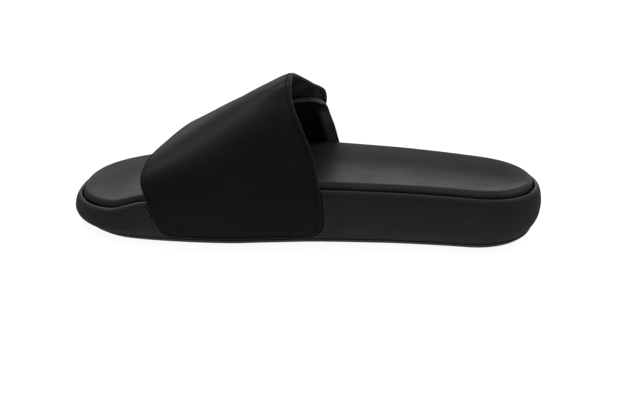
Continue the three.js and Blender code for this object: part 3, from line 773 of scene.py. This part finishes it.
class Strap:
    """A padded strap on the last: its edges, its lift above the last, and the radius of its corners."""

    def __init__(self, edges, turns, lift, corners, grow=0.0, step=STRAP_STEP):
        self.lift = lift
        front_at, rear_at = through(edges, "turn", "front"), through(edges, "turn", "rear")
        middle = 0.5 * (front_at(turns[0]) + rear_at(turns[0]))
        fine = np.linspace(turns[0], turns[1], PATH_STEPS)
        path = last_point(np.full(PATH_STEPS, middle), fine)
        length = along_path(path)
        per_turn = length[1] / (fine[1] - fine[0])
        total = length[-1] + 2 * grow
        distance = steps_across(total, inner_steps(total, step))
        turn = np.interp(distance - grow, length, fine)
        turn = np.where(distance < grow, turns[0] - (grow - distance) / per_turn, turn)
        turn = np.where(distance > total - grow, turns[1] + (distance - total + grow) / per_turn, turn)
        cut = rounded_away(distance, corners[0]) + rounded_away(total - distance, corners[1])
        front = front_at(turn) - (cut - grow) / SOLE_LENGTH
        rear = rear_at(turn) + (cut - grow) / SOLE_LENGTH
        columns = inner_steps((front_at(WIDEST_TURN) - rear_at(WIDEST_TURN)) * SOLE_LENGTH, step)
        rows = [f - steps_across((f - r) * SOLE_LENGTH, columns) / SOLE_LENGTH for f, r in zip(front, rear)]
        self.at = np.array(rows)
        self.turn = np.repeat(turn[:, None], self.at.shape[1], 1)
        self.rows, self.columns = self.at.shape
        self.base = last_point(self.at, self.turn)
        self.normal = last_normal(self.at, self.turn)
        self.edge_distance = self.distance_to_edge()

    def rim_loop(self):
        """Indices of the points round the edge, in order."""
        r, c = self.rows, self.columns
        index = np.arange(r * c).reshape(r, c)
        return np.concatenate([index[0], index[1:, -1], index[-1, -2::-1], index[-2:0:-1, 0]])

    def distance_to_edge(self):
        """Distance of every point from the nearest point or middle between points on the edge."""
        points = self.base.reshape(-1, 3)
        loop = points[self.rim_loop()]
        middles = np.concatenate([loop, 0.5 * (loop + np.roll(loop, -1, 0))])
        nearest = np.full(len(points), 1e9)
        for start in range(0, len(points), BATCH):
            gaps = points[start:start + BATCH, None] - middles[None]
            nearest[start:start + BATCH] = np.sqrt((gaps**2).sum(-1)).min(1)
        return nearest.reshape(self.rows, self.columns)

    def sheet(self, depth):
        """Points at a depth under the outside of the strap."""
        return self.base - self.normal * (depth - self.lift(self.at, self.turn))[..., None]

    def everywhere(self, values):
        """Values of the grid for every point of a body: outside, inside and the rows of its sides."""
        flat = values.reshape(-1)
        return np.concatenate([flat, flat] + [flat[self.rim_loop()]] * (SIDE_ROWS - 1))

    def body(self, outside, inside):
        """A closed body between an outer and an inner depth, each given for every point."""
        top = self.sheet(outside).reshape(-1, 3)
        bottom = self.sheet(inside).reshape(-1, 3)
        grid = skin_faces(self.rows, self.columns, closed=False)
        size = self.rows * self.columns
        faces = grid + [tuple(size + i for i in face[::-1]) for face in grid]
        loop = self.rim_loop()
        shares = np.linspace(0, 1, SIDE_ROWS + 1)[1:-1]
        sides = [top[loop] * (1 - share) + bottom[loop] * share for share in shares]
        starts = [2 * size + k * len(loop) + np.arange(len(loop)) for k in range(len(sides))]
        starts = [loop, *starts, size + loop]
        for upper_row, lower_row in zip(starts, starts[1:]):
            for i in range(len(loop)):
                j = (i + 1) % len(loop)
                faces.append((upper_row[i], lower_row[i], lower_row[j], upper_row[j]))
        return np.concatenate([top, bottom, *sides]), faces


def edge_fall(distance, radius):
    """How far a rounded edge falls away at a distance from it."""
    share = np.clip(1 - distance / radius, 0, 1)
    return radius * (1 - np.sqrt(1 - share**2))


def crease_depth(strap, creases):
    """Depth of the listed troughs and ridges."""
    depth = 0
    for at, turn, long, wide, deep in zip(*creases.values()):
        depth = depth + deep * hump(at, long, strap.at) * hump(turn, wide, strap.turn)
    return depth


def strap_relief(strap, creases):
    """Depth of the strap's outside: rounded edge, soft padding, stitch trough and creases."""
    d = strap.edge_distance
    padding = EDGE_SINK * (1 - smooth(0, EDGE_SINK_REACH, d))
    trough = SEAM_TROUGH * hump(SEAM_FROM_EDGE, SEAM_SPREAD, d)
    return edge_fall(d, EDGE_ROUND) + padding + trough + crease_depth(strap, creases)


def lining_relief(strap):
    """Depth of the lining: rounded edge, a soft seam line, and faint quilting."""
    d = strap.edge_distance
    waves = QUILT_DEPTH * np.sin(strap.at * QUILT_ALONG) * np.sin(strap.turn * QUILT_ROUND)
    waves = waves * smooth(*QUILT_FROM_EDGE, d)
    trough = LINING_TROUGH * hump(LINING_FROM_EDGE, LINING_SPREAD, d)
    return STRAP_WALL - edge_fall(d, EDGE_ROUND) - trough + np.minimum(0, waves)


SKIN, BINDING, LINING, END = range(4)


def strap_piece(name, strap, finishes, end_replaces, end_turns, end_places=(0, 1)):
    """A strap of four finishes: skin, edge binding, lining, and one in place of one of these at its end."""
    piece = make_piece(name, *strap.body(strap.relief, lining_relief(strap)), "strap", finishes, creases=60)
    edge, turn, at = (strap.everywhere(values) for values in (strap.edge_distance, strap.turn, strap.at))
    size = strap.rows * strap.columns
    for face in piece.data.polygons:
        index, first = list(face.vertices), face.vertices[0]
        if max(index) >= 2 * size:
            part = BINDING
        elif edge[first] < BINDING_WIDTH:
            part = BINDING if first < size else SKIN
        else:
            part = LINING if first >= size else SKIN
        at_end = end_turns[0] <= turn[first] <= end_turns[1] and end_places[0] <= at[first] <= end_places[1]
        near_end = end_replaces == BINDING and edge[first] < END_WIDTH
        face.material_index = END if at_end and (part == end_replaces or near_end) else part
    return piece


broad = Strap(broad_edges, BROAD_TURNS, broad_lift, (HEM_CORNER, TAB_CORNER))
short = Strap(short_edges, SHORT_TURNS, no_lift, (END_CORNER, HEM_CORNER))
broad.relief = strap_relief(broad, broad_creases)
short.relief = strap_relief(short, short_creases)
strap_broad = strap_piece(
    "strap_broad", broad, [strap_skin, edge_binding_with_highlight, strap_lining, painted_lit_tab_lining], LINING, TAB_LINING_TURNS)
# The short strap's rear end edge gets the paler finish that carries painted light.
strap_short = strap_piece(
    "strap_short", short, [strap_skin, edge_binding_with_highlight, short_lining, painted_lit_end], BINDING,
    PAINTED_LIT_END_TURNS, PAINTED_LIT_END_PLACES)


def pocket_cutter(edges, turns, corners):
    """The strap's lower end, grown by the dark gap round it."""
    grown = Strap(edges, turns, no_lift, corners, grow=POCKET_GAP, step=CUTTER_STEP)
    return make_piece("pocket_cutter", *grown.body(-POCKET_OVER, STRAP_WALL + POCKET_UNDER), None, [])


midsole_foam = make_piece(
    "midsole_foam", *body_of_rings(midsole_rings()), "midsole_foam", [midsole_skin, lip_painted_highlight])
for face in midsole_foam.data.polygons:
    face.material_index = int(LIP_RINGS[0] <= face.index // SOLE_POINTS < LIP_RINGS[1])
cut_away(midsole_foam, [
    pocket_cutter(broad_edges, BROAD_POCKET_TURNS, (HEM_CORNER, NO_CORNER)),
    pocket_cutter(short_edges, SHORT_POCKET_TURNS, (NO_CORNER, HEM_CORNER)),
])

insole = insole_footbed()
outsole = outsole_tread()


# Hook and loop tape between the tab and the short strap
def tape_patch(name, depths, finish):
    places = FASTENER_PLACES[::-1]
    edges = table("turn front rear", [(turn, *places) for turn in FASTENER_TURNS])
    patch = Strap(edges, FASTENER_TURNS, no_lift, (TAPE_CORNER, TAPE_CORNER), step=TAPE_STEP)
    d = patch.edge_distance
    fuzz = FUZZ_DEPTH * np.sin(patch.at * FUZZ_ALONG) * np.sin(patch.turn * FUZZ_ROUND)
    outer = depths[0] + edge_fall(d, TAPE_ROUND) + fuzz * (d > FUZZ_FROM_EDGE)
    return make_piece(name, *patch.body(outer, depths[1]), "strap", [finish], creases=60)


hook_patch = tape_patch("hook_patch", HOOK_DEPTHS, hook_tape)
loop_patch = tape_patch("loop_patch", LOOP_DEPTHS, loop_tape)


# Stitching along the straps' edges
def stitch_path(strap, side, turns):
    """Points and outward directions of a line at the stitches' inset from the front or rear edge."""
    surface, inset = strap.sheet(strap.relief), STITCH_INSET[side]
    middle = strap.columns // 2
    columns = list(range(middle) if side == "front" else range(strap.columns - 1, middle, -1))
    points, normals = [], []
    for r in range(strap.rows):
        d = strap.edge_distance[r, columns]
        k = int(np.argmax(d >= inset))
        if not turns[0] <= strap.turn[r, 0] <= turns[1] or d.max() < inset or k == 0:
            continue
        share = (inset - d[k - 1]) / (d[k] - d[k - 1])
        a, b = columns[k - 1], columns[k]
        points.append(surface[r, a] * (1 - share) + surface[r, b] * share)
        normals.append(strap.normal[r, a])
    return np.array(points), np.array(normals)


def stitch_bodies(strap, side, turns):
    """Thread stitches along one edge, lying in the strap's trough."""
    path, normals = stitch_path(strap, side, turns)
    length = along_path(path)
    bodies = []
    for start in np.arange(STITCH_START, length[-1] - STITCH_LENGTH, STITCH_PITCH):
        spots = np.linspace(start, start + STITCH_LENGTH, STITCH_SPOTS)
        centre = np.stack([np.interp(spots, length, path[:, k]) for k in range(3)], 1)
        normal = np.stack([np.interp(spots, length, normals[:, k]) for k in range(3)], 1)
        bodies.append(thread_body(centre, normal))
    return bodies


def thread_body(centre, normal):
    """One stitch: a short thread that dives into the strap at both ends."""
    count = len(centre)
    share = np.linspace(-1, 1, count)
    lift = THREAD * (THREAD_RISE - THREAD_DIVE * share**4)
    radius = THREAD * np.sqrt(np.maximum(THREAD_TIP, 1 - share**6)) * THREAD_THICK
    along = centre[-1] - centre[0]
    along /= np.linalg.norm(along)
    angles = np.linspace(0, 2 * np.pi, THREAD_SIDES + 1)[:-1, None]
    rings = []
    for k in range(count):
        up = normal[k] / np.linalg.norm(normal[k])
        side = np.cross(along, up)
        spot = centre[k] + up * lift[k]
        rings.append(spot + radius[k] * (np.cos(angles) * side + np.sin(angles) * up))
    first = range(THREAD_SIDES)
    faces = skin_faces(count, THREAD_SIDES)
    faces += [tuple(first)[::-1], tuple((count - 1) * THREAD_SIDES + i for i in first)]
    return np.concatenate(rings), faces


broad_seams = stitch_bodies(broad, "front", BROAD_STITCHED) + stitch_bodies(broad, "rear", BROAD_STITCHED)
short_seams = stitch_bodies(short, "rear", SHORT_STITCHED)
stitching_broad = make_piece("stitching_broad", *join_bodies(broad_seams), "strap", [seam_thread], 80)
stitching_short = make_piece("stitching_short", *join_bodies(short_seams), "strap", [seam_thread], 80)

# What each piece stands for
for piece, nodes in [
    (outsole, ["outsole"]), (midsole_foam, ["midsole"]), (insole, ["insole"]),
    (strap_broad, ["upper"]), (strap_short, ["upper"]), (hook_patch, ["upper"]), (loop_patch, ["upper"]),
    (stitching_broad, []), (stitching_short, []),
]:
    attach(piece, "root")
    if nodes:
        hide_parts(*nodes)


# Floor, light and camera
FLOOR_HALF = 12000.0
FLOOR_SHADES, FLOOR_GLOW = (0.29, 0.31), 0.93
BACKDROP_GLOW = 0.17
# Name, place, aim and size in metres, and power in watts
SOFT_LIGHTS = [
    ("toe_softbox", (-0.9, 0.55, 1.45), (0, 0, 0), (0.6, 0.8), 7.0),
    ("heel_softbox", (0.9, 0.5, 1.45), (0, 0, 0), (0.6, 0.8), 6.6),
    ("front_softbox", (-0.2, -0.2, 1.55), (0, 0, 0), (1.2, 0.6), 2.2),
    ("back_card", (0.0, 1.6, 0.4), (0, 0, 0.05), (2.4, 0.8), 5.8),
]


def floor_finish():
    paper = Finish("pale_paper_floor")
    fibre = paper.noise(paper.place(), scale=0.02, roughness=0.5)
    return paper.surface(
        Base_Color=paper.mix(fibre, grey(FLOOR_SHADES[0]), grey(FLOOR_SHADES[1])), Roughness=0.9,
        Specular_IOR_Level=0.0, Emission_Color=(1, 1, 1, 1), Emission_Strength=FLOOR_GLOW,
    )


corners = [(x * FLOOR_HALF, y * FLOOR_HALF, 0) for x, y in [(-1, -1), (1, -1), (1, 1), (-1, 1)]]
floor = make_piece("floor", corners, [(0, 1, 2, 3)], None, [floor_finish()], offset=False)
floor.visible_glossy = False


def soft_light(name, place, aim, size, power):
    lamp = bpy.data.lights.new(name, "AREA")
    lamp.shape, lamp.size, lamp.size_y, lamp.energy = "RECTANGLE", size[0], size[1], power
    holder = bpy.data.objects.new(name, lamp)
    bpy.context.scene.collection.objects.link(holder)
    holder.location = place
    holder.visible_camera = False
    holder.rotation_euler = (Vector(aim) - Vector(place)).to_track_quat("-Z", "Y").to_euler()


for light in SOFT_LIGHTS:
    soft_light(*light)

world = bpy.data.worlds.new("studio")
bpy.context.scene.world = world
world.use_nodes = True
backdrop = world.node_tree.nodes["Background"]
backdrop.inputs["Color"].default_value = (1, 1, 1, 1)
backdrop.inputs["Strength"].default_value = BACKDROP_GLOW

AZIMUTH, ELEVATION = math.radians(8), math.radians(21.4)
DISTANCE, AIM_HEIGHT = 1.3, 0.030
PIXELS_PER_MM = 1.613
IMAGE_WIDTH, IMAGE_HEIGHT = 640, 408
AIM_PIXEL = (306.9, 174.7)
level = math.cos(ELEVATION)
back = Vector((math.sin(AZIMUTH) * level, -math.cos(AZIMUTH) * level, math.sin(ELEVATION)))
lens = bpy.data.cameras.new("camera")
camera = bpy.data.objects.new("camera", lens)
bpy.context.scene.collection.objects.link(camera)
camera.location = Vector((0, 0, AIM_HEIGHT)) + back * DISTANCE
camera.rotation_euler = back.to_track_quat("Z", "Y").to_euler()
lens.sensor_width = 36.0
lens.lens = lens.sensor_width * PIXELS_PER_MM * DISTANCE / MM / IMAGE_WIDTH
lens.shift_x = (IMAGE_WIDTH / 2 - AIM_PIXEL[0]) / IMAGE_WIDTH
lens.shift_y = (AIM_PIXEL[1] - IMAGE_HEIGHT / 2) / IMAGE_WIDTH
lens.clip_end = 100.0
bpy.context.scene.camera = camera
bpy.context.scene.view_settings.view_transform = "Standard"
